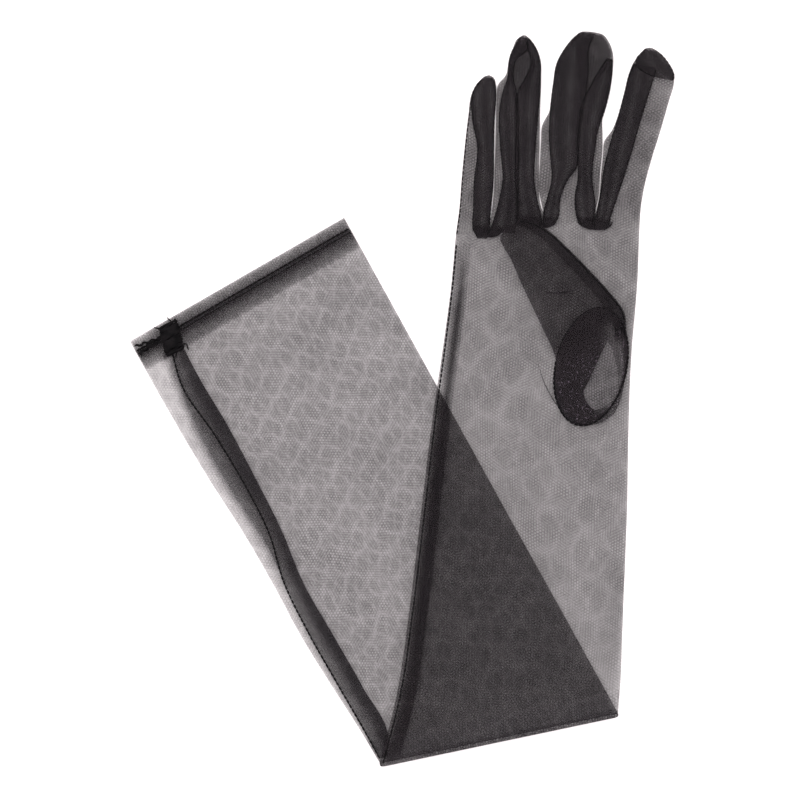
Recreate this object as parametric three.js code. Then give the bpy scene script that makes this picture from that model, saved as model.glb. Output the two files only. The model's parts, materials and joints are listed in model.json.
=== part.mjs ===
// One elbow-length glove of sheer stretch net, for the right hand, laid flat with its palm up.
// The hand and forearm lie on top. The upper sleeve is folded underneath them.
// The middle of the fold is the working origin. The last lines move it to the middle of the base.

import * as THREE from 'three';

// ---------- Driving dimensions, in millimetres and degrees ----------

const clothThickness = 0.4;    // one layer of net as it lies, with its loft
const layerGap = 0.3;          // air between two layers, and between pieces that meet edge to edge
const threadDiameter = 0.4;

const handTurn = -5.3;         // the hand's centre line, turned from +Y
const foldSlant = 17.2;        // the fold, turned from square across the arm

const foldWidth = 111.6;       // flat width of the arm at the fold
const cuffWidth = 119.4;       // flat width of the open end
const sleeveLength = 254;      // fold to cuff, along the sleeve
const palmLength = 240;        // fold to knuckles, along the hand
const wristWidth = 92.5;
const wristToKnuckles = 70;    // the arm is narrowest this far below the knuckles

const hemDepth = 13;           // cloth turned up inside the cuff
const hemStitchInset = 5;      // cuff edge to the line of stitching
const hemStitchMargin = 1;     // from each end of the line of stitching to the side of the cuff
const seamAllowance = 5.8;     // width of the overlocked edges inside the side seam
const sleeveSeamInset = 11;    // the sleeve's seam has rolled in from its left edge by this
const tackLength = 11;         // lump of thread where the side seam ends in the hem
const tackWidth = 5;
const tackHeight = 1.2;
const tackClearance = 0.5;     // hem stitching to the lump of thread

const fingerSpacing = 1;       // between the bases of neighbouring fingers
const hingeGap = 0.3;          // from a finger's bending line to the cloth on each side of it
const forkStripWidth = 5.5;    // a fork strip, folded double along the side of a finger

// rise: how far the finger's base stands past the knuckle line; lean: turned from the hand's centre line
const fingers = [
  { name: 'little', rise: 0.5, lean: 0.9, length: 76.8,
    baseWidth: 16.6, midWidth: 14.4, shoulderWidth: 11.6, tipDepth: 6, forkSides: [1] },
  { name: 'ring', rise: 7.4, lean: 2.5, length: 90.8,
    baseWidth: 23.6, midWidth: 20.2, shoulderWidth: 15.5, tipDepth: 9, forkSides: [-1, 1] },
  { name: 'middle', rise: 11, lean: -2.2, length: 92.4,
    baseWidth: 24, midWidth: 25.5, shoulderWidth: 26.5, tipDepth: 9, forkSides: [-1, 1] },
  { name: 'index', rise: 2, lean: -5.9, length: 95,
    baseWidth: 20.6, midWidth: 22.5, shoulderWidth: 21.5, tipDepth: 10, forkSides: [-1] },
];

// toKnuckles: from the hole's centre up to the knuckle line; toEdge: from the hole to the index finger's side
const thumbHole = { halfWidth: 15, halfLength: 27, lean: -8, toKnuckles: 58.6, toEdge: 3.8 };
const thumbHoleAllowance = 5;  // seam edges around the thumb hole

// rise: how far the thumb's bending line crosses above the centre of its hole
const thumb = {
  rise: 17, lean: 39.3, length: 54,
  baseWidth: 40, midWidth: 29, shoulderWidth: 24, tipDepth: 8,
};
const thumbStart = 1.5;        // bending line to the first of the thumb's cloth

// ---------- Layers, counted up from the surface that the glove lies on ----------

const layerPitch = clothThickness + layerGap;
const layer = {
  sleeveUnder: 0, hemUnder: 1, hemUpper: 2, sleeveUpper: 3,
  handBack: 4, handInside: 5, palm: 6,
  thumbUnder: 7, thumbInside: 8, thumbUpper: 9,
};
const layerBase = (level) => level * layerPitch;
const layerTop = (level) => layerBase(level) + clothThickness;
const layerMiddle = (level) => layerBase(level) + clothThickness / 2;

// ---------- Materials ----------

function finish(color, roughness) {
  return new THREE.MeshStandardMaterial({ color, roughness, metalness: 0 });
}
const netFinish = () => finish(0x4a4649, 0.9);
const doubledNetFinish = () => finish(0x2b292b, 0.9);
const threadFinish = () => finish(0x141314, 0.7);

// ---------- Shapes ----------

const point = (x, y) => new THREE.Vector2(x, y);
const radians = THREE.MathUtils.degToRad;

function named(name, geometry, material) {
  const mesh = new THREE.Mesh(geometry, material);
  mesh.name = name;
  return mesh;
}

// A flat piece of cloth with this outline, lying in one layer.
function slab(outline, level, thickness = clothThickness, hole = null) {
  const shape = new THREE.Shape(outline);
  if (hole) shape.holes.push(new THREE.Path(hole));
  const geometry = new THREE.ExtrudeGeometry(shape, { depth: thickness, bevelEnabled: false });
  return geometry.translate(0, 0, layerBase(level));
}

// A thread that follows these points at one height.
function thread(points, height, closed = false) {
  const radius = threadDiameter / 2;
  const section = new THREE.Shape();
  section.absarc(0, 0, radius, 0, 2 * Math.PI, false);
  const route = new THREE.CatmullRomCurve3(points.map((p) => new THREE.Vector3(p.x, p.y, height)), closed);
  return new THREE.ExtrudeGeometry(section, {
    curveSegments: 3, steps: 2 * points.length, bevelEnabled: false, extrudePath: route,
  });
}

function ellipse(halfWidth, halfLength, segments = 40) {
  return Array.from({ length: segments }, (_, i) => {
    const angle = (2 * Math.PI * i) / segments;
    return point(halfWidth * Math.cos(angle), halfLength * Math.sin(angle));
  });
}

// The place at x across the arm that lies this clearance from the fold's line.
// slantSign is 1 for the hand and -1 for the sleeve, which is its mirror image across the fold.
function nearFold(x, slantSign, clearance) {
  const slant = radians(foldSlant);
  return point(x, slantSign * x * Math.tan(slant) + clearance / Math.cos(slant));
}

// ---------- Fingers and thumb ----------

// A digit's outline tapers between three widths to a round end. An inset pulls it in all round.

function digitSide(digit, side, inset, start) {
  const shoulder = digit.length - digit.tipDepth;
  const stations = [
    point(side * (digit.baseWidth / 2 - inset), start),
    point(side * (digit.midWidth / 2 - inset), shoulder * 0.55),
    point(side * (digit.shoulderWidth / 2 - inset), shoulder),
  ];
  return new THREE.SplineCurve(stations).getPoints(6);
}

function digitTip(digit, inset) {
  const tip = new THREE.EllipseCurve(
    0, digit.length - digit.tipDepth,
    digit.shoulderWidth / 2 - inset, digit.tipDepth - inset, Math.PI, 0, true,
  );
  return tip.getPoints(10).slice(1, -1);
}

function digitOutline(digit, start, inset = 0) {
  return [
    ...digitSide(digit, -1, inset, start),
    ...digitTip(digit, inset),
    ...digitSide(digit, 1, inset, start).reverse(),
  ];
}

// The seam's thread runs just inside the outline, and the doubled cloth of the seam just inside the thread.
const threadToEdge = 0.1;
const threadInset = threadDiameter / 2 + threadToEdge;
const stripInset = threadInset + threadDiameter / 2 + layerGap;

function sideStrip(digit, side, width, start) {
  const outer = digitSide(digit, side, stripInset, start);
  const inner = digitSide(digit, side, stripInset + width, start);
  return [...outer, ...inner.reverse()];
}

function makeFinger(finger) {
  const group = new THREE.Group();
  const outline = digitOutline(finger, hingeGap);
  group.add(named(`${finger.name}_back_side`, slab(outline, layer.handBack), netFinish()));
  group.add(named(`${finger.name}_palm_side`, slab(outline, layer.palm), netFinish()));
  for (const side of finger.forkSides) {
    const strip = sideStrip(finger, side, forkStripWidth, hingeGap);
    const label = side < 0 ? 'outer_fork_strip' : 'inner_fork_strip';
    group.add(named(`${finger.name}_${label}`, slab(strip, layer.handInside), doubledNetFinish()));
  }
  const seam = digitOutline(finger, hingeGap + threadDiameter, threadInset);
  group.add(named(`${finger.name}_seam_thread`, thread(seam, layerMiddle(layer.handInside)), threadFinish()));
  return group;
}

// The bases of the fingers stand side by side along the knuckles, from the little finger inwards.
const knuckleWidth = fingers.reduce((sum, finger) => sum + finger.baseWidth + fingerSpacing, 0);

function placedFingers() {
  let cursor = -knuckleWidth / 2;
  return fingers.map((finger) => {
    const share = finger.baseWidth + fingerSpacing;
    const across = cursor + share / 2;
    cursor += share;
    return { ...finger, across, along: palmLength + finger.rise };
  });
}

// The two ends of a finger's share of the knuckles, moved back from its bending line by the hinge gap.
function knuckleCorners(finger) {
  const turn = radians(finger.lean);
  const base = point(finger.across, finger.along);
  const reach = (finger.baseWidth + fingerSpacing) / 2;
  return [-1, 1].map((side) => point(side * reach, -hingeGap).rotateAround(point(0, 0), turn).add(base));
}

// ---------- Hand and forearm ----------

// The fold is a half-round roll of cloth. The hand's panels start clear of the circle that it fills.
const stackHeight = layerTop(layer.palm);
const foldAxisHeight = layerBase(layer.handBack) - layerGap / 2;
const rollRadius = stackHeight / 2;
const handStart = foldAxisHeight + layerGap;

function handEdge(side, inset = 0, clearance = handStart) {
  const stations = [
    nearFold(side * (foldWidth / 2 - inset), 1, clearance),
    point(side * (wristWidth / 2 - inset), palmLength - wristToKnuckles),
    point(side * (knuckleWidth / 2 - inset), palmLength),
  ];
  return new THREE.SplineCurve(stations).getPoints(10);
}

const thumbHoleCentre = point(
  wristWidth / 2 - thumbHole.toEdge - thumbHole.halfWidth,
  palmLength - thumbHole.toKnuckles,
);

function thumbHoleOutline(growth) {
  const turn = radians(thumbHole.lean);
  const outline = ellipse(thumbHole.halfWidth + growth, thumbHole.halfLength + growth);
  return outline.map((p) => p.rotateAround(point(0, 0), turn).add(thumbHoleCentre));
}

function makeHand() {
  const group = new THREE.Group();
  const placed = placedFingers();
  const outline = [...handEdge(-1), ...placed.flatMap(knuckleCorners), ...handEdge(1).reverse()];
  const seamHeight = layerMiddle(layer.handInside);

  group.add(named('back_of_hand_panel', slab(outline, layer.handBack), netFinish()));
  group.add(named('palm_panel', slab(outline, layer.palm, clothThickness, thumbHoleOutline(0)), netFinish()));

  const seamStart = handStart + threadDiameter;
  const allowance = [
    ...handEdge(-1, stripInset, seamStart),
    ...handEdge(-1, stripInset + seamAllowance, seamStart).reverse(),
  ];
  group.add(named('forearm_seam_allowance', slab(allowance, layer.handInside), doubledNetFinish()));
  const seam = handEdge(-1, threadInset, seamStart);
  group.add(named('forearm_seam_thread', thread(seam, seamHeight), threadFinish()));

  // The thumb hole's seam: its thread fills the ring between the palm and the root of the thumb.
  const ring = threadDiameter + 2 * layerGap;
  const ringSeam = thumbHoleOutline(-ring / 2);
  group.add(named('thumb_root', slab(thumbHoleOutline(-ring), layer.palm), netFinish()));
  group.add(named('thumb_hole_thread', thread(ringSeam, layerMiddle(layer.palm), true), threadFinish()));
  const ringAllowance = slab(
    thumbHoleOutline(thumbHoleAllowance / 2), layer.handInside, clothThickness,
    thumbHoleOutline(-thumbHoleAllowance / 2),
  );
  group.add(named('thumb_hole_allowance', ringAllowance, doubledNetFinish()));

  for (const finger of placed) {
    const fingerGroup = makeFinger(finger);
    fingerGroup.position.set(finger.across, finger.along, 0);
    fingerGroup.rotation.z = radians(finger.lean);
    group.add(fingerGroup);
  }
  group.add(makeThumb());
  group.rotation.z = radians(handTurn);
  return group;
}

function makeThumb() {
  const group = new THREE.Group();
  const outline = digitOutline(thumb, thumbStart);
  group.add(named('thumb_under_side', slab(outline, layer.thumbUnder), netFinish()));
  group.add(named('thumb_upper_side', slab(outline, layer.thumbUpper), netFinish()));
  const allowance = sideStrip(thumb, 1, seamAllowance, thumbStart);
  group.add(named('thumb_seam_allowance', slab(allowance, layer.thumbInside), doubledNetFinish()));
  const seam = digitOutline(thumb, thumbStart + threadDiameter, threadInset);
  group.add(named('thumb_seam_thread', thread(seam, layerMiddle(layer.thumbInside)), threadFinish()));
  group.position.set(thumbHoleCentre.x, thumbHoleCentre.y + thumb.rise, 0);
  group.rotation.z = radians(thumb.lean);
  return group;
}

// ---------- Fold ----------

// Half a round shell along the fold, which joins the underside of the sleeve to the palm.
function makeFold() {
  const group = new THREE.Group();
  const length = foldWidth / Math.cos(radians(foldSlant)) - 2 * layerGap;
  const section = new THREE.Shape();
  section.absarc(-rollRadius, 0, rollRadius, Math.PI, 2 * Math.PI, false);
  section.absarc(-rollRadius, 0, rollRadius - clothThickness, 2 * Math.PI, Math.PI, true);
  const roll = new THREE.ExtrudeGeometry(section, { depth: length, bevelEnabled: false, curveSegments: 12 });
  roll.translate(0, 0, -length / 2);
  roll.rotateY(Math.PI / 2);
  group.add(named('sleeve_fold_roll', roll, netFinish()));
  group.rotation.z = radians(handTurn + foldSlant);
  return group;
}

// ---------- Upper sleeve ----------

function sleeveStrip(fromCuff, depth) {
  const far = sleeveLength - fromCuff;
  const near = far - depth;
  const halfWidth = cuffWidth / 2 - layerGap;
  return [point(-halfWidth, near), point(-halfWidth, far), point(halfWidth, far), point(halfWidth, near)];
}

function makeSleeve() {
  const group = new THREE.Group();
  const outline = [
    nearFold(-foldWidth / 2, -1, layerGap),
    point(-cuffWidth / 2, sleeveLength),
    point(cuffWidth / 2, sleeveLength),
    nearFold(foldWidth / 2, -1, layerGap),
  ];
  group.add(named('sleeve_under_panel', slab(outline, layer.sleeveUnder), netFinish()));
  group.add(named('sleeve_upper_panel', slab(outline, layer.sleeveUpper), netFinish()));

  const hem = sleeveStrip(layerGap, hemDepth);
  group.add(named('cuff_hem_under', slab(hem, layer.hemUnder), doubledNetFinish()));
  group.add(named('cuff_hem_upper', slab(hem, layer.hemUpper), doubledNetFinish()));
  const stitchLine = sleeveLength - hemStitchInset;
  const stitchReach = cuffWidth / 2 - hemStitchMargin;
  const hemThread = [-1, -0.5, 0, 0.5, 1].map((t) => point(t * stitchReach, stitchLine));
  const hemThreadHeight = layerMiddle(layer.sleeveUpper + 1);
  group.add(named('cuff_hem_thread', thread(hemThread, hemThreadHeight), threadFinish()));

  // The side seam, overlocked as one thick strip, has rolled in from the left edge.
  const seamTop = sleeveLength - hemDepth - 2 * layerGap;
  const seamLow = nearFold(sleeveSeamInset - foldWidth / 2, -1, 2 * layerGap);
  const seamHigh = point(sleeveSeamInset - cuffWidth / 2, seamTop);
  const strip = [
    seamLow,
    seamHigh,
    point(seamHigh.x + seamAllowance, seamHigh.y),
    point(seamLow.x + seamAllowance, seamLow.y),
  ];
  const stripThickness = layerTop(layer.hemUpper) - layerBase(layer.hemUnder);
  group.add(named('sleeve_seam_allowance', slab(strip, layer.hemUnder, stripThickness), doubledNetFinish()));
  const beside = threadDiameter / 2 + layerGap;
  const seamHeight = (layerTop(layer.sleeveUnder) + layerBase(layer.sleeveUpper)) / 2;
  const seam = [0.02, 0.25, 0.5, 0.75, 1].map((t) => seamLow.clone().lerp(seamHigh, t));
  seam.forEach((p) => p.setX(p.x - beside));
  group.add(named('sleeve_seam_thread', thread(seam, seamHeight), threadFinish()));

  const tack = new THREE.SphereGeometry(1, 16, 10);
  tack.scale(tackWidth / 2, tackLength / 2, tackHeight / 2);
  const tackBase = layerTop(layer.sleeveUpper) + layerGap;
  const tackY = stitchLine - threadDiameter / 2 - tackClearance - tackLength / 2;
  tack.translate(seamHigh.x, tackY, tackBase + tackHeight / 2);
  group.add(named('cuff_seam_tack', tack, threadFinish()));

  group.rotation.z = radians(handTurn + 2 * foldSlant);
  return group;
}

// ---------- The whole glove, its origin at the middle of its base ----------

const glove = new THREE.Group();
glove.add(makeSleeve(), makeFold(), makeHand());

const bounds = new THREE.Box3().setFromObject(glove, true);
glove.position.set(-(bounds.min.x + bounds.max.x) / 2, -(bounds.min.y + bounds.max.y) / 2, -bounds.min.z);

export default glove;
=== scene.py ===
"""The looks of one elbow-length glove of sheer black net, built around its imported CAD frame.

Lengths are in millimetres until a mesh is made. Each shape is laid out flat, in the frame of the
joint that it belongs to, and is then lifted to the height of its layer of cloth.
"""

import json
import math

import bpy
import numpy as np
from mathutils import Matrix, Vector, noise


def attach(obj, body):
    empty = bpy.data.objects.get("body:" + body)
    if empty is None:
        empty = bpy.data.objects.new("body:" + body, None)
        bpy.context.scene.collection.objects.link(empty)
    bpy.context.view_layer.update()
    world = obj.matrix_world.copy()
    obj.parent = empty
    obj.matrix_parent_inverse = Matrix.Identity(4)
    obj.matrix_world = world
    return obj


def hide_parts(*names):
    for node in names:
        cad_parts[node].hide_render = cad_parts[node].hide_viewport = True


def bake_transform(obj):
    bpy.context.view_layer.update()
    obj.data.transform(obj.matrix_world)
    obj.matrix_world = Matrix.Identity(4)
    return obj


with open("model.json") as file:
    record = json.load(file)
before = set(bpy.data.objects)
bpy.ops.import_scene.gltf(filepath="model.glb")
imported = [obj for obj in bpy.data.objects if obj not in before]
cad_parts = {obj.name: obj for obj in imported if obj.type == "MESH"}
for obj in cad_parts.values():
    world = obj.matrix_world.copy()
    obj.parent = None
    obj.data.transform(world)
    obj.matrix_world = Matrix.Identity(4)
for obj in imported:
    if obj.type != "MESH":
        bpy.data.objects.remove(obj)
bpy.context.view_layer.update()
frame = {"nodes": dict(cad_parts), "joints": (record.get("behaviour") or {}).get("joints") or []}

MM = 0.001

# ---- Sizes, in millimetres ----

FOLD_SLANT = math.radians(17.2)   # the fold, turned from square across the arm

# Edges of the sleeve from the fold to the cuff, as (across, along) in the sleeve's frame.
SLEEVE_LEFT = [
    (-55.4, 17.15), (-55.8, 32), (-57.6, 61), (-58.9, 90), (-58.5, 117), (-59, 146), (-60.8, 175),
    (-62, 231), (-61.9, 252.8),
]
SLEEVE_RIGHT = [
    (56.5, -17.5), (56.6, 14), (56.7, 47), (56.7, 80), (56.8, 113), (56.9, 146), (57, 179),
    (57.2, 229), (57.3, 254.6),
]

# Edges of the hand and forearm from the fold to the knuckles, in the hand's frame.
HAND_LEFT = [
    (-55.4, -17.15), (-50.2, 16), (-47.8, 60), (-46.5, 110), (-45.3, 150), (-43.2, 190),
    (-42.3, 214), (-42.3, 239.5),
]
HAND_RIGHT = [
    (56.5, 17.5), (56.2, 34), (54.2, 75), (52, 116), (49.3, 152), (47.2, 190), (46.9, 224),
    (45.8, 245),
]

# The ends of the slits between the fingers, with the two sides of the hand, in the hand's frame.
KNUCKLES = [(-42.3, 239.5), (-26.5, 240.5), (-0.7, 252), (22.3, 249.6), (45.8, 245)]

SLEEVE_UNDER, SLEEVE_UPPER = 0.35, 2.25
HAND_UNDER, HAND_UPPER = 3.05, 4.75
SLEEVE_MIDDLE, HAND_MIDDLE = (SLEEVE_UNDER + SLEEVE_UPPER) / 2, (HAND_UNDER + HAND_UPPER) / 2
DROP = 2.6                        # the hand sinks by this where no sleeve lies under it
EDGE_RADIUS = 2.4                 # how far in from an edge the two layers part
FLAT_EDGE = 0.2                   # share of their distance that is left at the edge itself
ALLOWANCE = 3                     # cloth beyond a finger's seam
FOLD_SHARE = 0.05                 # share of each panel that belongs to the fold

# Where along each finger the cloth would start and end to turn with the joint.
FINGER_BEND = {"little": (2, 15), "ring": (4.5, 18), "middle": (1.5, 15), "index": (6.5, 20)}

# Outline of each finger above its base, as (along, left, right) in its joint's frame.
FINGER_OUTLINE = {
    "little": [
        (12, -6, 9.3), (26, -6, 9.55), (42, -5.7, 8.5), (57, -5.1, 7.7), (67, -4.3, 7.6),
        (72.5, -1.6, 7), (75.8, 1, 5.6), (76.6, 3, 3.8),
    ],
    "ring": [
        (14, -10.9, 11.1), (28, -11.05, 10.4), (45, -11.4, 9.9), (58, -11.6, 9.5), (66.5, -11.2, 9.4),
        (71, -7.8, 9.2), (78, -6.8, 8.8), (84.5, -4.9, 6.4), (88.8, -3.1, 3.2), (90.6, -0.6, 0.8),
    ],
    "middle": [
        (14, -15.4, 13.7), (25, -16.4, 12.95), (36, -17.3, 12.6), (44, -17.7, 11.6),
        (51, -15.2, 10.6), (64, -15.2, 12.5), (75, -14.7, 12.5), (82, -11.9, 11.7), (88, -8.2, 8.8),
        (91, -5, 5.6), (91.6, -1, 1.6),
    ],
    "index": [
        (20, -10.95, 9.6), (32, -12.3, 9.4), (41, -13.15, 10), (48, -13.7, 10.6), (53, -11.3, 11.2),
        (61, -9.7, 12), (72, -8.9, 12.9), (82, -8.4, 13.6), (86.5, -7.7, 12.6), (92, -5, 7.4),
        (95.3, -3, 2.6), (96, -1.2, 0.2),
    ],
}

# The fork strips inside each finger, and more cloth inside the tips of two, in the same way.
FORK_STRIPS = {
    "little": [
        [(-2, 4, 8), (1, 2, 8.8), (13, 0.8, 9.1), (26, 0.2, 9.2), (41, 0.6, 8.3), (56, -3.2, 7.5),
         (68, -3.8, 7.3), (73, -1.2, 6.4), (75.5, 1.6, 5)],
    ],
    "ring": [
        [(-5, -12, 0), (0, -10.5, 0.5), (10, -8.2, 1), (20, -6.8, 0.6), (36, -8.7, 0), (51, -10, -1),
         (62, -9, -2), (70, -6.8, -4.2), (78, -6.6, -3.6), (84, -4.8, 2), (89.5, -1.8, 1.6)],
        [(-1, 0.8, 12), (3, 0.9, 12.6), (10, 0.5, 10.5), (21, -0.8, 8.2), (36, -1.5, 8),
         (51, -1.7, 8.5), (62, -2.2, 9), (70, 1.6, 8.9), (78, 4, 8.3), (84, 2.2, 6.2), (89, 1, 2.2)],
    ],
    "middle": [
        [(-3, -11, -6), (0, -11.6, -4.6), (10, -10.6, -4.6), (19, -9.7, -2.4), (26, -11, 1.3),
         (33, -12.6, 1.2), (48, -14.6, 0.4), (64, -15, 1), (75, -14.4, 0.5), (82, -11.6, -0.5),
         (88, -7.6, 0.5), (91, -4.6, 2)],
        [(-0.6, 7, 11.5), (1.2, 5, 12.7), (6, 3.4, 12.9), (13, 2.4, 11.6), (20, 2.8, 9.6),
         (35, 0.4, 8.8), (46, -0.4, 9.2), (54, -0.6, 11), (66, 3, 12.2), (74, 6.2, 12.2),
         (80, 9.2, 11.5)],
    ],
    "index": [
        [(5.6, -10.6, -5.5), (7.4, -10.9, -4.3), (11, -10.7, -3.9), (19, -10.7, -3),
         (38, -11.3, -0.7), (49, -10.6, 0.3), (60, -9.6, 1.2), (72, -8.8, 2.4), (83, -8.1, 3.6),
         (87, -7, 4)],
        [(82.5, 3, 13), (86, -5.5, 12.4), (89, -6.6, 10.2), (92, -5, 7.2), (95, -3, 2.8)],
    ],
}
TIP_CLOTH = {
    "ring": [
        (64, -3, 0.5), (70, -6.4, 4), (77, -6.4, 6.6), (84, -4.6, 4), (87, -3, 1.5),
    ],
    "middle": [
        (58, -1.5, 0.5), (66, -2, 3.6), (74, -4, 9), (80, -6, 11.3), (86, -7, 9.4), (90.5, -4.5, 5.2),
    ],
}

# The thumb lies over the palm: its upper layer reaches down over the hole that it grows from.
HOLE_CENTRE, HOLE_LEAN = (28.3, 182), math.radians(-8)
HOLE_HALF_WIDTH, HOLE_HALF_LENGTH = 16.8, 28.6
THUMB_END = [
    (11, -19.4, 17.6), (27, -17, 15.3), (42, -14.6, 12.4), (51, -12.9, 10.2), (58.5, -12.4, 6.8),
    (62.5, -11.4, 3.4), (64.6, -7, 0),
]
THUMB_UPPER = [
    (-38.6, -20, -14), (-36, -27, -9), (-28, -31.5, 0), (-20, -32.2, 6.8), (-10, -28.6, 13.2),
    (0, -21.6, 18.2), *THUMB_END,
]
THUMB_UNDER = [
    (-8, -28, -26), (-1, -21.9, -10), (3.6, -20.8, 10), (4, -20.4, 17.9), *THUMB_END,
]
THUMB_CREASE = [(-9, 29.5), (-3.2, 24.8), (5, 21.3)]

THUMB_BEND = (5, 20)              # where along the thumb it would start and end to turn with its joint
THUMB_CLEARANCE = 0.9             # palm to the thumb's lower layer
THUMB_THICKNESS = 1.3
THUMB_ALLOWANCE = (7, 4)          # width of its seam's cloth, at the hole and at the tip

# The clear opening inside the hole, and a crease beside it, in the hand's frame.
THUMB_OPENING = [
    (35.1, 195), (32.1, 187.2), (28.4, 176.1), (26.1, 168.8), (27.4, 165.5), (32.1, 161.6),
    (37.6, 164.1), (41.2, 169.2), (41.8, 178), (39.7, 185.9), (37, 192.4),
]
PALM_CREASE = [(2.9, 181.2), (6.4, 172.7), (12.4, 163.6), (18.8, 156.3)]

# Where two fork strips meet: the lowest point, in the hand's frame, and half the width.
FORK_ENDS = [((-27.4, 239.4), 7.6), ((-3, 246.2), 8.8), ((23.8, 247.7), 8.9)]
FORK_END_SHAPE = [(0, -0.3, 0.3), (1, -0.66, 0.66), (2.6, -0.9, 0.9), (5.6, -1, 1)]

# The side seam on the sleeve, as (along, left, right) from the fold to the tack, and its stitching.
SLEEVE_RIBBON = [
    (18.6, -54.9, -50.5), (24, -54.6, -46.6), (54, -54.9, -44.8), (82, -55.2, -45.1),
    (110, -53.6, -45.4), (138, -51.9, -42.2), (166, -53.8, -41), (194, -54, -40.4),
    (222, -50.8, -41.2), (240, -46.5, -40.6),
]
RIBBON_THREAD = [
    (-54.3, 19), (-54.2, 30), (-54.6, 60), (-54.8, 90), (-53.4, 115), (-48.2, 139), (-47, 166),
    (-48, 194), (-50.2, 222), (-46, 240),
]

# The lump of thread at the seam's end: its centre in the sleeve's frame, and from there the start
# and reach of its loose ends, and the start and stop of the strands to the cuff's corner.
TACK = (-43.4, 244.4)
TACK_ENDS = [
    ((2.6, 5.2), (1.2, 4.4)), ((-2.6, 5), (-1.6, 3.6)), ((3.6, -5), (1.6, -4)),
    ((-1.4, -5.4), (-0.4, -4)),
]
TACK_STRANDS = [((-3, 2.4), (-17.4, 4.9)), ((-3, 1), (-17.6, 1.2)), ((-3, 3.2), (-17, 0.4))]

# Cover of the cloth turned in at the cuff, as (distance from the edge, cover).
HEM_COVER = [
    (0.4, 0.04), (2, 0.14), (4, 0.2), (5.2, 0.3), (6, 0.5), (7.5, 0.52), (9.5, 0.42),
    (11.5, 0.28), (13.5, 0.2), (15, 0.12), (16.2, 0),
]
HEM_STITCH = 5.8                  # from the cuff's edge to its line of stitching

# ---- Cover: the share of a layer that is thread ----

SLEEVE_COVER = 0.387
ARM_COVER = 0.395
FINGER_COVER = 0.48
TIP_COVER = 0.62
CAP_COVER = 0.33
MARGIN_LOSS = 0.12                # how much lighter the sleeve is beyond its side seam

# ---- Mesh ----

COLUMNS = 20                      # strips of mesh across a finger's width
SLEEVE_ROWS, HAND_ROWS, FOLD_ROWS = 92, 104, 7
FINGER_STEP = 1.8                 # length of a row of mesh on a finger or the thumb
THREAD_END = 0.55                 # girth of a thread's end, as a share of its middle


# ---- Flat frames ----

class Place:
    """A flat frame in the row frame: an origin, and a turn from the row's +X."""

    def __init__(self, origin, turn):
        self.origin = np.array(origin, float)
        across = np.array([math.cos(turn), math.sin(turn)])
        self.axes = np.array([across, [-across[1], across[0]]])
        self.turn = turn

    def out(self, points):
        """Points of this frame, in the row frame."""
        return self.origin + np.asarray(points, float) @ self.axes

    def into(self, points):
        """Points of the row frame, in this frame."""
        return (np.asarray(points, float) - self.origin) @ self.axes.T


def joint_place(name):
    """A joint's flat frame, with +X on its axis, and its height."""
    joint = next(j for j in frame["joints"] if j["name"] == name)
    turn = math.atan2(joint["axis"][1], joint["axis"][0])
    return Place(np.array(joint["pos_m"][:2]) / MM, turn), joint["pos_m"][2] / MM


FOLD, FOLD_HEIGHT = joint_place("sleeve_fold")
HAND = Place(FOLD.origin, FOLD.turn - FOLD_SLANT)
SLEEVE = Place(FOLD.origin, FOLD.turn + FOLD_SLANT)
FINGER = {name: joint_place(f"{name}_finger_bend")[0] for name in FINGER_BEND}
THUMB, THUMB_HEIGHT = joint_place("thumb_swing")


# ---- Curves ----

def ease(value):
    """0 below 0, 1 above 1, and smooth between them."""
    t = np.clip(value, 0, 1)
    return t * t * (3 - 2 * t)


def mix(a, b, share):
    return a + (b - a) * share


def smooth(knots, values, at):
    """The smooth curve that passes through values at knots, worked out at each number in at."""
    knots, values, at = (np.asarray(x, float) for x in (knots, values, at))
    slopes = np.gradient(values, knots, axis=0)
    i = np.clip(np.searchsorted(knots, at) - 1, 0, len(knots) - 2)
    span = (knots[i + 1] - knots[i])[:, None]
    t = (at - knots[i])[:, None] / span
    return (
        values[i] * (1 + 2 * t) * (1 - t) ** 2
        + slopes[i] * span * t * (1 - t) ** 2
        + values[i + 1] * t * t * (3 - 2 * t)
        + slopes[i + 1] * span * t * t * (t - 1)
    )


def travelled(points):
    """Distance from the first point to each of them."""
    steps = np.linalg.norm(np.diff(points, axis=0), axis=1)
    return np.concatenate([[0], np.cumsum(steps)])


def curve(points, spacing):
    """A smooth line through the points, with even steps."""
    points = np.array(points, float)
    knots = travelled(points)
    return smooth(knots, points, np.linspace(0, knots[-1], max(3, round(knots[-1] / spacing) + 1)))


def strip_knots(left, right):
    """How far each row of a strip is along it, on whichever edge is longer at that row."""
    steps = np.maximum(*(np.linalg.norm(np.diff(e, axis=0), axis=1) for e in (left, right)))
    return np.concatenate([[0], np.cumsum(steps)])


def edges(table, spacing):
    """Left and right edges of a strip from rows of (along, left, right), resampled together."""
    table = np.array(table, float)
    left, right = table[:, [1, 0]], table[:, [2, 0]]
    knots = strip_knots(left, right)
    at = np.linspace(0, knots[-1], max(3, round(knots[-1] / spacing) + 1))
    return smooth(knots, left, at), smooth(knots, right, at)


def edge_at(points, shares):
    """Points at these shares of the way along a smooth line through the points."""
    points = np.array(points, float)
    knots = travelled(points)
    return smooth(knots / knots[-1], points, shares)


def spread(count):
    """Shares from 0 to 1, closer together towards both ends."""
    even = np.linspace(0, 1, count + 1)
    return mix(even, (1 - np.cos(math.pi * even)) / 2, 0.6)


def between(left, right, shares):
    """A grid of points, with one row for each pair of edge points."""
    return mix(left[:, None, :], right[:, None, :], np.asarray(shares)[None, :, None])


def inset_from(left, right, shares):
    """The distance of each point between two edges from the nearer one."""
    return np.minimum(shares, 1 - shares) * np.linalg.norm(right - left, axis=1)[:, None]


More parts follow.
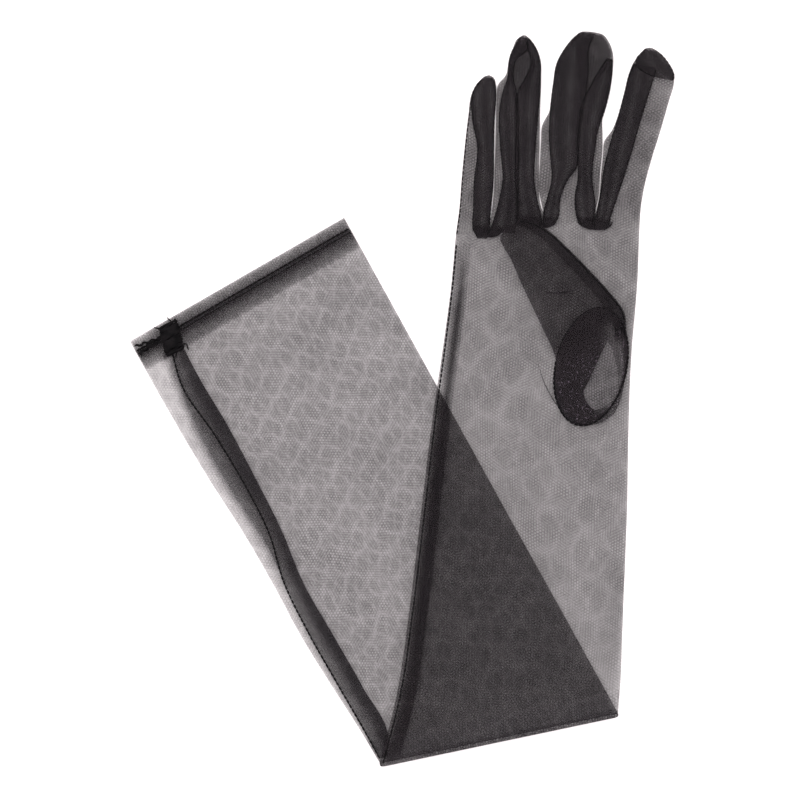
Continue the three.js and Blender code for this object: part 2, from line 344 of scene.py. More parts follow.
def hole_outline(growth=0.0, count=72):
    """The thumb hole's outline, in the row frame."""
    angle = np.linspace(0, 2 * math.pi, count, endpoint=False)
    x = (HOLE_HALF_WIDTH + growth) * np.cos(angle)
    y = (HOLE_HALF_LENGTH + growth) * np.sin(angle)
    c, s = math.cos(HOLE_LEAN), math.sin(HOLE_LEAN)
    return HAND.out(np.stack([x * c - y * s, x * s + y * c], -1) + HOLE_CENTRE)


# ---- Heights ----

def ripple(points, size, seed):
    """Smooth noise in the range of about -1 to 1 at points of the row frame."""
    flat = np.asarray(points, float).reshape(-1, 2) / size
    values = [noise.noise(Vector((x, y, seed))) for x, y in flat]
    return np.array(values).reshape(np.shape(points)[:-1])


def waves(points, seed):
    """Shallow waves in the cloth. They die out towards the fold."""
    far = ease((np.abs(FOLD.into(points)[..., 1]) - 10) / 18)
    return far * (0.32 * ripple(points, 26, seed) + 0.12 * ripple(points, 9, seed + 5))


def sleeve_height(points, level):
    return level + np.maximum(waves(points, 1.0), -0.2)


def hand_height(points, level):
    """The hand lies on the sleeve, and sinks to the table beside it."""
    beside = ease((SLEEVE.into(points)[..., 0] - 57) / 18)
    beyond = ease((FOLD.into(points)[..., 1] - 8) / 30)
    return level - DROP * beside * beyond + np.maximum(waves(points, 1.0), -0.2)


def rim(distance):
    """How far two layers have parted at this distance from their common edge, from FLAT_EDGE to 1."""
    t = np.clip(distance / EDGE_RADIUS, 0, 1)
    return FLAT_EDGE + (1 - FLAT_EDGE) * np.sqrt(1 - (1 - t) ** 2)


# ---- Meshes ----


def around(upper, under):
    """Rows that run over the upper layer and back under it."""
    return np.concatenate([upper, under[:, ::-1]], axis=1)


def unrolled(grid):
    """The cloth's own coordinates on a tube: the under layer is the upper one's continuation."""
    mirrored = grid.copy()
    mirrored[..., 0] = 2 * grid[:, -1:, 0] - grid[..., 0]
    return around(grid, mirrored)


def add_object(name, data):
    made = bpy.data.objects.new(name, data)
    bpy.context.scene.collection.objects.link(made)
    return made


class Shape:
    """Collects the grids and threads of one piece, then makes its mesh."""

    def __init__(self):
        self.points, self.faces, self.weave, self.density = [], [], [], []
        self.count = 0

    def grid(self, points, weave=None, density=1.0, closed=False, keep=None):
        """Adds rows of points as a sheet of faces. closed joins each row's end to its start.
        weave gives the cloth's own coordinates, and keep says which faces stay."""
        rows, columns = points.shape[:2]
        start = self.count
        self.points.append(points.reshape(-1, 3))
        self.count += rows * columns
        cloth = points[..., :2] if weave is None else weave
        self.weave.append(cloth.reshape(-1, 2))
        self.density.append(np.broadcast_to(density, (rows, columns)).reshape(-1))
        strips = columns if closed else columns - 1
        i, j = np.meshgrid(np.arange(rows - 1), np.arange(strips), indexing="ij")
        if keep is not None:
            i, j = i[keep], j[keep]
        i, j, after = i.ravel(), j.ravel(), (j.ravel() + 1) % columns
        here, beyond = i * columns, (i + 1) * columns
        corners = [here + j, here + after, beyond + after, beyond + j]
        self.faces += (np.stack(corners, -1) + start).tolist()

    def tube(self, upper, under, cloth, density, keep=None, capped=False):
        """Adds two layers that are joined along both edges. capped joins their last rows as well."""
        both = np.broadcast_to(density, upper.shape[:2])
        self.grid(around(upper, under), unrolled(cloth), around(both, both), closed=True, keep=keep)
        if capped:
            front = self.count - 2 * upper.shape[1] + np.arange(upper.shape[1])
            back = self.count - 1 - np.arange(upper.shape[1])
            self.faces += np.stack([front[:-1], front[1:], back[1:], back[:-1]], -1).tolist()

    def band(self, flat, middle, half, density):
        """Adds a strip of two layers, half above and half below the middle height."""
        self.tube(lifted(flat, middle + half), lifted(flat, middle - half), flat, density)

    def pleat(self, line, height, width):
        """Adds a narrow fold of cloth that stands on a flat line."""
        along = np.gradient(line, axis=0)
        side = np.stack([-along[:, 1], along[:, 0]], -1) / np.linalg.norm(along, axis=1)[:, None]
        half = width / 2 * np.sin(np.linspace(0.1, math.pi - 0.1, len(line)))[:, None]
        flat = np.stack([line - side * half, line, line + side * half], 1)
        self.grid(lifted(flat, height[:, None] + (0, width / 2, 0)), flat, 0.55)

    def thread(self, path, radius, sides=6):
        """Adds a thread along the path, a little thinner at its two ends, which are closed."""
        path = np.array(path, float)
        forward = np.gradient(path, axis=0)
        forward /= np.linalg.norm(forward, axis=1)[:, None]
        side = np.cross(forward, (0, 0, 1))
        side /= np.maximum(np.linalg.norm(side, axis=1), 1e-6)[:, None]
        up = np.cross(side, forward)
        angle = np.linspace(0, 2 * math.pi, sides, endpoint=False)[None, :, None]
        girth = np.full(len(path), radius)
        girth[[0, -1]] *= THREAD_END
        turned = np.cos(angle) * side[:, None] + np.sin(angle) * up[:, None]
        rings = path[:, None] + girth[:, None, None] * turned
        start = self.count
        self.grid(rings, closed=True)
        self.faces.append([start + k for k in range(sides)])
        self.faces.append([self.count - 1 - k for k in range(sides)])

    def dashes(self, path, length, radius, lift, gap=0.2):
        """Adds a row of stitches along a line of points."""
        knots = travelled(path)
        for begin in np.arange(0, knots[-1] - length, length + gap):
            at = np.linspace(begin, begin + length, 4)
            stitch = np.stack([np.interp(at, knots, path[:, k]) for k in range(3)], -1)
            stitch[1:3, 2] += lift
            self.thread(stitch, radius)

    def overlock(self, inner, outer, pitch, radius):
        """Adds a thread that zigzags between two lines of points."""
        turns = round(travelled(inner)[-1] / pitch)
        at = np.linspace(0, 1, 2 * turns + 1)
        lines = [
            np.stack([np.interp(at, np.linspace(0, 1, len(e)), e[:, k]) for k in range(3)], -1)
            for e in (inner, outer)
        ]
        on_inner = (np.arange(len(at)) % 2 == 0)[:, None]
        self.thread(np.where(on_inner, *lines), radius, sides=5)

    def make(self, name, material, replaced=()):
        """The finished piece, in place of these CAD nodes. Its material reads its weave and cover."""
        mesh = bpy.data.meshes.new(name)
        points = np.concatenate(self.points) * MM
        mesh.from_pydata(points.tolist(), [], self.faces)
        mesh.polygons.foreach_set("use_smooth", [True] * len(mesh.polygons))
        weave = np.zeros((self.count, 3))
        weave[:, :2] = np.concatenate(self.weave)
        cover = np.concatenate(self.density)
        mesh.attributes.new("weave", "FLOAT_VECTOR", "POINT").data.foreach_set("vector", weave.ravel())
        mesh.attributes.new("cover", "FLOAT", "POINT").data.foreach_set("value", cover)
        mesh.materials.append(material)
        mesh.update()
        piece = add_object(name, mesh)
        if replaced:
            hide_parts(*replaced)
        return piece


def lifted(points, height):
    """Flat points with a height each."""
    return np.concatenate([points, np.broadcast_to(height, points.shape[:-1])[..., None]], -1)


def on_sleeve(points, level, lift=0.0):
    """Flat points at the height of a layer of the sleeve."""
    return lifted(points, sleeve_height(points, level) + lift)


def on_hand(points, level, lift=0.0):
    """Flat points at the height of a layer of the hand."""
    return lifted(points, hand_height(points, level) + lift)


# ---- Materials ----

class Nodes:
    """Adds and links the nodes of one material."""

    def __init__(self, name):
        self.material = bpy.data.materials.new(name)
        self.material.use_nodes = True
        self.tree = self.material.node_tree
        self.shader = self.tree.nodes["Principled BSDF"]

    def add(self, kind, *inputs, **settings):
        made = self.tree.nodes.new("ShaderNode" + kind)
        for key, value in settings.items():
            setattr(made, key, value)
        for socket, value in zip(made.inputs, inputs):
            self.feed(socket, value)
        return made

    def feed(self, socket, value):
        if isinstance(value, bpy.types.NodeSocket):
            self.tree.links.new(value, socket)
        elif value is not None:
            socket.default_value = value

    def math(self, operation, a, b=None):
        return self.add("Math", a, b, operation=operation).outputs[0]

    def ramp(self, value, low, high, to_low, to_high):
        return self.add("MapRange", value, low, high, to_low, to_high).outputs[0]

    def noise(self, vector, scale, detail=2.0):
        return self.add("TexNoise", vector, None, scale, detail)

    def colours(self, share, low, high):
        made = self.add("Mix", data_type="RGBA")
        self.feed(made.inputs[0], share)
        for index, value in ((6, low), (7, high)):
            linked = isinstance(value, bpy.types.NodeSocket)
            self.feed(made.inputs[index], value if linked else (*value, 1))
        return made.outputs[2]

    def constants(self, **values):
        """Sets what is the same all over the surface, on the shader's own sockets."""
        for name, value in values.items():
            self.shader.inputs[name.replace("_", " ")].default_value = value

    def bump(self, height, strength, distance):
        made = self.add("Bump")
        for name, value in (("Height", height), ("Strength", strength), ("Distance", distance)):
            self.feed(made.inputs[name], value)
        self.feed(self.shader.inputs["Normal"], made.outputs[0])

    def surface(self, **links):
        for name, value in links.items():
            self.feed(self.shader.inputs[name.replace("_", " ")], value)


PAINTED_GLINT_COLOUR = (0.36, 0.30, 0.38)        # painted highlight: lilac base colour for the specks where gathered net would catch the light


def net_material(name, pitch, low, high, relief, fringe, thinned, painted_glint_strength):
    """Fine hexagonal net, whose share of thread is the cloth's cover. relief: contrast of thread and
    hole. fringe: distance between the light streaks where threads drift out of step. thinned: thread
    left in a streak. The last argument sets a painted highlight: bright lilac specks painted into the
    base colour where the net is gathered."""
    n = Nodes(name)
    weave = n.add("Attribute", attribute_name="weave").outputs["Vector"]
    cover = n.add("Attribute", attribute_name="cover").outputs["Fac"]

    def drifted(scale, reach):
        shift = n.noise(weave, scale).outputs["Color"]
        moved = n.add("VectorMath", shift, (reach, reach, 0), weave, operation="MULTIPLY_ADD")
        return moved.outputs[0]

    def rows(vector, spacing, degrees):
        turn = math.radians(degrees)
        across = (2 * math.pi / spacing * math.cos(turn), 2 * math.pi / spacing * math.sin(turn), 0)
        return n.math("COSINE", n.add("VectorMath", vector, across, operation="DOT_PRODUCT").outputs[1])

    pulled = drifted(0.024, 7)
    first, second, third = (rows(pulled, pitch, degrees) for degrees in (3, 63, 123))
    holes = n.math("ADD", n.math("ADD", first, second), third)
    thread = n.ramp(holes, -1.5, 3, 1, 0)
    wavy = drifted(0.2 / fringe, 3 * fringe)
    streak = n.math("MAXIMUM", rows(wavy, fringe, 24), rows(wavy, 1.9 * fringe, 122))
    drift = n.noise(weave, 0.045, 3).outputs["Fac"]
    grain = n.noise(weave, 0.9).outputs["Fac"]

    share = n.math("MULTIPLY", cover, n.ramp(thread, 0, 1, 1 - 1.1 * relief, 1 + 0.6 * relief))
    for value, start, end, thick, thin in (
        (drift, 0.3, 0.7, 1.07, 0.93),
        (grain, 0.3, 0.7, 1.1, 0.9),
        (streak, 0.4, 1, 1.02, thinned),
    ):
        share = n.math("MULTIPLY", share, n.ramp(value, start, end, thick, thin))
    # painted highlight: bright lilac specks mixed into the base colour, only where the cover is high
    painted_glint_mask = n.math("MULTIPLY", n.ramp(grain, 0.6, 0.66, 0, painted_glint_strength), n.ramp(cover, 0.45, 0.6, 0, 1))
    yarn = n.colours(n.ramp(drift, 0.3, 0.7, 0, 1), low, high)
    n.bump(thread, 0.35, 0.2 * MM)
    n.surface(
        Alpha=n.math("MINIMUM", share, 0.97),
        Base_Color=n.colours(painted_glint_mask, yarn, PAINTED_GLINT_COLOUR),
        Roughness=n.ramp(thread, 0, 1, 0.8, 0.55),
    )
    n.constants(Sheen_Weight=0.02, Sheen_Roughness=0.4, Specular_IOR_Level=0.03)
    return n.material


def thread_material():
    """Soft black thread with a slight twist."""
    n = Nodes("seam_thread")
    place = n.add("TexCoord").outputs["Object"]
    fibre = n.noise(place, 2600, 3).outputs["Fac"]
    wear = n.noise(place, 300, 2).outputs["Fac"]
    n.bump(fibre, 0.5, 0.1 * MM)
    black, faded = (0.0012, 0.0012, 0.0015), (0.005, 0.0045, 0.005)
    n.surface(
        Base_Color=n.colours(n.ramp(wear, 0.35, 0.65, 0, 1), black, faded),
        Roughness=n.ramp(fibre, 0.3, 0.7, 0.5, 0.75),
    )
    n.constants(Sheen_Weight=0.01, Specular_IOR_Level=0.04)
    return n.material


def table_material():
    n = Nodes("pale_table")
    place = n.add("TexCoord").outputs["Object"]
    cloudy = n.noise(place, 4, 3).outputs["Fac"]
    n.surface(
        Base_Color=n.colours(cloudy, (0.86, 0.86, 0.865), (0.88, 0.88, 0.88)),
        Roughness=n.ramp(cloudy, 0.3, 0.7, 0.7, 0.8),
    )
    n.constants(Specular_IOR_Level=0.2)
    return n.material


sleeve_cloth = net_material(
    "sleeve_cloth", pitch=1.25, low=(0.014, 0.0125, 0.0145), high=(0.022, 0.0195, 0.0215),
    relief=0.28, fringe=5.5, thinned=0.85, painted_glint_strength=0)
hand_cloth = net_material(
    "hand_cloth", pitch=1.25, low=(0.010, 0.0088, 0.0100), high=(0.017, 0.0148, 0.0162),
    relief=0.28, fringe=10, thinned=0.91, painted_glint_strength=0.25)
doubled_net = net_material(
    "doubled_net", pitch=1.1, low=(0.005, 0.0045, 0.0055), high=(0.010, 0.0088, 0.0105),
    relief=0.2, fringe=9, thinned=0.93, painted_glint_strength=0.05)
seam_thread = thread_material()


# ---- Baking pieces in place ----

def bend_with(piece, place, reach):
    """Bakes the piece's placement into its mesh. The ends of its bend between the hand and a finger or
    the thumb are worked out but not used, so the piece does not bend.
    """
    start, end = (place.out([0, y]) * MM for y in reach)
    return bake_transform(piece)


# ---- Sleeve, fold and forearm ----

def knuckle_row():
    """Points along the bases of the four fingers, in the hand's frame."""
    shares = spread(COLUMNS)[:, None]
    parts = [mix(np.array(a), np.array(b), shares) for a, b in zip(KNUCKLES, KNUCKLES[1:])]
    return np.concatenate([parts[0], *(p[1:] for p in parts[1:])])


ACROSS = spread(4 * COLUMNS)


def panel(left, right, shares_along, far_row=None):
    """Grid of a panel from the fold, and each point's distance from the nearest edge."""
    left, right = np.array(left, float), np.array(right, float)
    left_edge, right_edge = edge_at(left, shares_along), edge_at(right, shares_along)
    across = np.broadcast_to(ACROSS, (len(shares_along), len(ACROSS)))
    if far_row is not None:
        far_share = (far_row[:, 0] - left[-1, 0]) / (right[-1, 0] - left[-1, 0])
        across = mix(across, far_share[None], shares_along[:, None])
    grid = mix(left_edge[:, None], right_edge[:, None], across[..., None])
    if far_row is not None:
        bulge = far_row - mix(left[-1], right[-1], far_share[:, None])
        grid = grid + bulge[None] * (shares_along**6)[:, None, None]
    return grid, inset_from(left_edge, right_edge, across)


def two_layers(flat, height, levels, parted):
    """The under and upper layer. parted is the share of their distance that they keep."""
    low, high = (height(flat, level) for level in levels)
    middle, half = (low + high) / 2, (high - low) / 2 * parted
    return lifted(flat, middle - half), lifted(flat, middle + half)


def sleeve_layers(shares):
    """The grid and two layers of the sleeve, at shares of the way from the fold."""
    grid, distance = panel(SLEEVE_LEFT, SLEEVE_RIGHT, shares)
    levels = SLEEVE_UNDER, SLEEVE_UPPER
    return grid, *two_layers(SLEEVE.out(grid), sleeve_height, levels, rim(distance))


def hand_layers(shares):
    """The same for the hand and forearm."""
    grid, distance = panel(HAND_LEFT, HAND_RIGHT, shares, knuckle_row())
    return grid, *two_layers(HAND.out(grid), hand_height, (HAND_UNDER, HAND_UPPER), rim(distance))


def arm_density(grid):
    """The net is relaxed and denser in the hand than on the stretched arm."""
    up_hand = ease((grid[..., 1] - 150) / 90)
    to_thumb_side = ease((grid[..., 0] + 40) / 80)
    near_fold = 1 - ease(grid[..., 1] / 120)
    return ARM_COVER - 0.025 * near_fold + up_hand * mix(0.018, 0.025, to_thumb_side)


def make_sleeve():
    grid, under, upper = sleeve_layers(np.linspace(FOLD_SHARE, 1, SLEEVE_ROWS))
    margin = ease((-48 - grid[..., 0]) / 7)
    shape = Shape()
    shape.tube(upper, under, grid * (1, -1), SLEEVE_COVER - MARGIN_LOSS * margin)
    replaced = ["sleeve_under_panel", "sleeve_upper_panel"]
    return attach(shape.make("sleeve_net", sleeve_cloth, replaced), "sleeve")


def in_hole(place):
    """Below 1 inside the thumb hole, and 1 on its edge."""
    local = HAND.into(place) - HOLE_CENTRE
    c, s = math.cos(HOLE_LEAN), math.sin(HOLE_LEAN)
    x, y = local[..., 0] * c + local[..., 1] * s, -local[..., 0] * s + local[..., 1] * c
    return np.hypot(x / HOLE_HALF_WIDTH, y / HOLE_HALF_LENGTH)


def cut_hole(upper):
    """Faces of the palm to keep around the thumb hole. The rim of what is left moves onto its edge."""
    inside = in_hole(upper[..., :2]) < 1
    gone = inside[:-1, :-1] & inside[1:, :-1] & inside[:-1, 1:] & inside[1:, 1:]
    touched = np.zeros_like(inside)
    first, second = slice(0, -1), slice(1, None)
    for rows, columns in ((first, first), (second, first), (first, second), (second, second)):
        touched[rows, columns] |= ~gone
    centre = HAND.out(HOLE_CENTRE)
    moving = inside & touched
    reach = upper[moving][:, :2] - centre
    upper[moving, :2] = centre + reach / in_hole(upper[moving][:, :2])[:, None]
    return ~gone


def make_forearm():
    """The forearm and hand, and the last rows of both layers."""
    grid, under, upper = hand_layers(np.linspace(FOLD_SHARE, 1, HAND_ROWS))
    keep = cut_hole(upper)
    rows, columns = keep.shape
    kept = np.ones((rows, 2 * columns + 2), bool)
    kept[:, :columns] = keep
    shape = Shape()
    shape.tube(upper, under, grid, arm_density(grid), kept)
    piece = shape.make("forearm_net", hand_cloth, ["back_of_hand_panel", "palm_panel"])
    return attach(piece, "hand"), under[-1], upper[-1]


# Each layer of the fold: its name, strips of mesh round it, the heights between which it bends, and
# what it replaces.
FOLD_LAYERS = [
    ("fold_net_outer", 12, (1.5, 3.7), ["sleeve_fold_roll"]),
    ("fold_net_inner", 6, (2.35, 2.95), []),
]


def fold_layer(layer, low, high, sleeve_grid, grid):
    """One layer of cloth that runs from the sleeve, at low, round the fold to the hand, at high."""
    name, steps, reach, replaced = layer
    angle = np.linspace(0, math.pi, steps + 1)[1:-1, None]
    radius = mix(FOLD_HEIGHT - low[0, :, 2], high[0, :, 2] - FOLD_HEIGHT, angle / math.pi)
    outward = np.append(FOLD.out([0, -1]) - FOLD.origin, 0)
    roll = np.broadcast_to(low[0], (len(angle), *low[0].shape)).copy()
    roll += (radius * np.sin(angle))[..., None] * outward
    roll[..., 2] = FOLD_HEIGHT - radius * np.cos(angle)
    unrolled_back = (angle[::-1] * radius[::-1])[..., None] * (0, -1)
    sleeve_weave = sleeve_grid[::-1] * (1, -1) + unrolled_back[0]
    weave = np.concatenate([sleeve_weave, grid[0] + unrolled_back, grid])
    beside = np.append(0.25, np.zeros(len(grid) - 1))
    around_roll = 0.52 + 0.3 * np.sin(angle[:, 0]) ** 4
    edge_on = np.concatenate([beside[::-1], around_roll, beside])[:, None]
    shape = Shape()
    shape.grid(np.concatenate([low[::-1], roll, high]), weave, mix(SLEEVE_COVER, 0.9, edge_on))
    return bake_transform(shape.make(name, sleeve_cloth, replaced))


def make_fold():
    """The two layers turn back on themselves: the outer one around the inner one."""
    shares = np.linspace(0, FOLD_SHARE, FOLD_ROWS)
    grid, hand_under, hand_upper = hand_layers(shares)
    sleeve_grid, sleeve_under, sleeve_upper = sleeve_layers(shares)
    ends = (sleeve_under, hand_upper), (sleeve_upper, hand_under)
    return [fold_layer(layer, *pair, sleeve_grid, grid) for layer, pair in zip(FOLD_LAYERS, ends)]


# ---- Fingers ----

def finger_edges(name, base):
    """Left and right edges of a finger from its base row, and how far along it each row is."""
    place, outline = FINGER[name], np.array(FINGER_OUTLINE[name], float)
    left = np.vstack([place.into(base[0, :2]), outline[:, [1, 0]]])
    right = np.vstack([place.into(base[-1, :2]), outline[:, [2, 0]]])
    knots = strip_knots(left, right)
    at = np.linspace(0, knots[-1], round(knots[-1] / FINGER_STEP))
    return smooth(knots, left, at), smooth(knots, right, at), at


def finger_parting(across, width, at, outer_sides):
    """How far a finger's layers have parted. They close towards its tip and its sides, and on a
    side that faces another finger only from the start of the slit."""
    begun = ease(at / 9)
    parted = mix(0.25, 1, ease((at[-1] - at) / 6))
    for distance, outer in zip((across * width, (1 - across) * width), outer_sides):
        parted = parted * (rim(distance) if outer else 1 - begun * (1 - rim(distance)))
    return parted


def finger_net(name, base_under, base_upper, outer_sides):
    """A finger grows from its share of the knuckles to its closed tip."""
    left, right, at = finger_edges(name, base_upper)
    at = at[:, None]
    across = spread(COLUMNS)
    flat = FINGER[name].out(between(left, right, across))
    width = np.linalg.norm(right - left, axis=1)[:, None]
    parted = finger_parting(across, width, at, outer_sides)
    under, upper = two_layers(flat, hand_height, (HAND_UNDER, HAND_UPPER), parted)
    under[0], upper[0] = base_under, base_upper
    weave = HAND.into(flat)
    density = mix(FINGER_COVER, TIP_COVER, ease((at - at[-1] + 10) / 8))
    density = mix(arm_density(weave), density, ease(at / 16))
    shape = Shape()
    shape.tube(upper, under, weave, density, capped=True)
    return shape, left, right


def cut_size(left, right):
    """Width, length and area in metres of one side of a finger, cut with its seam allowance."""
    x, y = np.vstack([left, right[::-1]]).T
    area = abs(np.dot(x, np.roll(y, 1)) - np.dot(y, np.roll(x, 1))) / 2
    width = np.linalg.norm(right - left, axis=1).max()
    area += ALLOWANCE * (2 * np.ptp(y) + width)
    return ((width + 2 * ALLOWANCE) * MM, (np.ptp(y) + ALLOWANCE) * MM), area * MM**2


def strip_layers(name, table):
    """A fork strip, folded double, inside the finger, and each point's distance from its edge."""
    left, right = edges(table, 2)
    across = spread(10)
    flat = FINGER[name].out(between(left, right, across))
    middle = (hand_height(flat, HAND_UNDER) + hand_height(flat, HAND_UPPER)) / 2
    inset = inset_from(left, right, across)
    half = 0.32 * rim(inset)
    return flat, lifted(flat, middle - half), lifted(flat, middle + half), inset


def finger_strips(name):
    """The cloth inside a finger, and the stitches along its fork strips."""
    shape, thread = Shape(), Shape()
    if name in TIP_CLOTH:
        flat, under, upper, inset = strip_layers(name, TIP_CLOTH[name])
        shape.tube(upper, under, flat, CAP_COVER * ease(inset + 0.3))
    for table in FORK_STRIPS[name]:
        flat, under, upper, inset = strip_layers(name, table)
        along = np.linspace(0, 1, len(flat))[:, None]
        creases = np.sin(spread(10) * 11 + along * 5 + table[0][1])
        shape.tube(upper, under, flat, 0.48 + 0.12 * creases + 0.3 * (1 - ease(inset / 2)))
        for edge in (flat[:, 0], flat[:, -1]):
            line = on_hand(edge, HAND_UPPER, 0.05)
            thread.dashes(line, length=2.0, radius=0.27, lift=0.08)
    return shape, thread


def make_finger(name, base_under, base_upper, outer_sides):
    """A finger's three pieces, and the flat size of one of its sides."""
    net, left, right = finger_net(name, base_under, base_upper, outer_sides)
    strips, thread = finger_strips(name)
    if outer_sides[0]:
        line = FINGER[name].out(left + (0.5, 0))
        seam = on_hand(line, HAND_MIDDLE)[:-3]
        thread.dashes(seam, length=2.1, radius=0.36, lift=0.1, gap=0.5)
    pieces = []
    for shape, ending, material, cad in (
        (net, "net", hand_cloth, "_side"),
        (strips, "fork_strips", doubled_net, "_strip"),
        (thread, "stitches", seam_thread, "_thread"),
    ):
        replaced = [n for n in frame["nodes"] if n.startswith(name) and n.endswith(cad)]
        piece = shape.make(f"{name}_{ending}", material, replaced)
        bend_with(piece, FINGER[name], FINGER_BEND[name])
        pieces.append(piece)
    return *pieces, *cut_size(left, right)


def make_fork_ends():
    """The gathered ends of the fork strips, one under each slit between two fingers."""
    shape = Shape()
    for lowest, half_width in FORK_ENDS:
        left, right = edges(np.array(FORK_END_SHAPE) * (1, half_width, half_width), 0.8)
        across = spread(28)
        local = between(left, right, across)
        flat = HAND.out(local + lowest)
        gathers = 0.22 * np.sin(across * 40 + lowest[0]) * np.sin(across * math.pi)
        middle = hand_height(flat, HAND_MIDDLE) + gathers
        faded = 1 - ease((local[..., 1] - 2.4) / 3.2)
        shape.band(flat, middle, 0.35, (0.86 + gathers) * faded)
    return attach(shape.make("fork_ends", doubled_net), "hand")


# ---- Thumb ----

THUMB_TOP = HAND_UPPER + THUMB_CLEARANCE + THUMB_THICKNESS


def thumb_layers():
    """Upper layer over the hole and along the thumb, and under layer along the thumb only."""
    layers = []
    top = THUMB_CLEARANCE + THUMB_THICKNESS
    for table, lift in ((THUMB_UPPER, top), (THUMB_UNDER, THUMB_CLEARANCE)):
        left, right = edges(table, FINGER_STEP)
        across = spread(2 * COLUMNS)
        local = between(left, right, across)
        flat = THUMB.out(local)
        inset = inset_from(left, right, across)
        middle = THUMB_CLEARANCE + THUMB_THICKNESS / 2
        raised = middle + (lift - middle) * rim(inset)
        raised = mix(0.35 + 0.5 * rim(inset), raised, ease((local[..., 1] + 12) / 16))
        dense = 0.16 * ease((4 - local[..., 1]) / 16) + 0.1 * (1 - ease(inset / 3))
        layers.append((flat, on_hand(flat, HAND_UPPER, raised), 0.43 + dense))
    return layers


def thumb_seam_shape():
    """The cloth of the thumb's own seam, its right edge, and a crease across the thumb."""
    rows = np.array(THUMB_UPPER[4:])
    width = np.linspace(*THUMB_ALLOWANCE, len(rows))
    left, right = edges(np.stack([rows[:, 0], rows[:, 2] - width, rows[:, 2] - 0.4], -1), 2)
    flat = THUMB.out(between(left, right, spread(8)))
    height = hand_height(flat, HAND_UPPER) + THUMB_CLEARANCE + THUMB_THICKNESS / 2
    begun = ease(np.linspace(0, 7, len(flat)))[:, None]
    shape = Shape()
    shape.band(flat, height, 0.2, begun * mix(0.15, 0.8, spread(8) ** 1.5))
    crease = THUMB.out(curve(THUMB_CREASE, 1))
    shape.pleat(crease, hand_height(crease, THUMB_TOP), 0.7)
    return shape, right


def make_thumb():
    shape = Shape()
    for (flat, points, density), mirror in zip(thumb_layers(), (1, -1)):
        shape.grid(points, HAND.into(flat) * (mirror, 1), density)
    replaced = ["thumb_root", "thumb_under_side", "thumb_upper_side"]
    net = shape.make("thumb_net", hand_cloth, replaced)
    shape, right = thumb_seam_shape()
    edge = shape.make("thumb_seam_edges", doubled_net, ["thumb_seam_allowance"])
    thread = Shape()
    seam = on_hand(THUMB.out(right - (0.6, 0)), THUMB_TOP, 0.05)
    thread.dashes(seam, length=2.1, radius=0.42, lift=0.1, gap=0.3)
    stitches = thread.make("thumb_stitches", seam_thread, ["thumb_seam_thread"])
    for piece in (net, edge, stitches):
        bend_with(piece, THUMB, THUMB_BEND)
    return net, edge, stitches


def opening_outline(outer):
    """The clear opening's outline, with one point towards each point of the hole's outline."""
    inner = HAND.out(curve([*THUMB_OPENING, THUMB_OPENING[0]], 1)[1:])
    centre = inner.mean(0)
    turn, around_turn = (np.arctan2(*(points - centre).T[::-1]) for points in (outer, inner))
    order = np.argsort(around_turn)
    loop = np.concatenate([around_turn[order] + lap for lap in (-2 * math.pi, 0, 2 * math.pi)])
    reach = np.tile(np.linalg.norm(inner - centre, axis=1)[order], 3)
    distance = np.interp(turn, loop, reach)
    return centre + distance[:, None] * np.stack([np.cos(turn), np.sin(turn)], -1)


def make_thumb_hole():
    """The seam around the hole, and the gathered cloth inside it around a small clear opening."""
    outer = hole_outline()
    shares = np.linspace(0, 1, 12)[:, None]
    flat = mix(outer[None], opening_outline(outer)[None], shares[..., None])
    height = hand_height(flat, HAND_UPPER)
    thumb_side = ease((HAND.into(outer)[:, 0] - 24) / 18)
    density = mix(0.85, mix(0.66, 0.16, thumb_side), ease(shares / mix(0.9, 0.5, thumb_side)))
    shape = Shape()
    for lift in (0.12, -0.25):
        shape.grid(lifted(flat, height + lift), flat, density, closed=True)
    crease = HAND.out(curve(PALM_CREASE, 1.5))
    shape.pleat(crease, hand_height(crease, HAND_UPPER), 0.6)
    gathered = shape.make("thumb_hole_edges", doubled_net, ["thumb_hole_allowance"])
    ring = hole_outline(0.2, 240)
    ring = np.vstack([ring, ring[:1]])
    thread = Shape()
    seam = on_hand(ring, HAND_UPPER, 1.0)
    thread.dashes(seam, length=2.2, radius=0.5, lift=0.15)
    stitches = thread.make("thumb_hole_stitches", seam_thread, ["thumb_hole_thread"])
    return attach(gathered, "hand"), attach(stitches, "hand")


# ---- Seams ----

def make_sleeve_seam():
    """The overlocked side seam, rolled in from the sleeve's left edge."""
    left, right = edges(SLEEVE_RIBBON, 2)
    across = spread(10)
    flat = SLEEVE.out(between(left, right, across))
    middle = sleeve_height(flat, SLEEVE_MIDDLE)
    half = 0.45 * rim(inset_from(left, right, across))
    shape = Shape()
    shape.band(flat, middle, half, 0.3 + 0.24 * ease(across * 2 - 0.6))
    blur = SLEEVE.out(between(left - (4.5, 0), left, across))
    upper_part = ease((left[:, 1] - 110) / 40)[:, None]
    cover = across**1.5 * mix(0.15, 0.5, upper_part)
    shape.grid(on_sleeve(blur, SLEEVE_MIDDLE), blur, cover)
    ribbon = shape.make("sleeve_seam_edges", doubled_net, ["sleeve_seam_allowance"])
    thread = Shape()
    seam = on_sleeve(SLEEVE.out(curve(RIBBON_THREAD, 2)), SLEEVE_UPPER, 0.1)
    thread.dashes(seam, length=2.3, radius=0.5, lift=0.1)
    rag = (on_sleeve(SLEEVE.out(e), SLEEVE_UPPER, -0.3) for e in (right, right - (2.6, 0)))
    thread.overlock(*rag, pitch=1.5, radius=0.12)
    stitches = thread.make("sleeve_seam_stitches", seam_thread, ["sleeve_seam_thread"])
    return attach(ribbon, "sleeve"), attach(stitches, "sleeve")


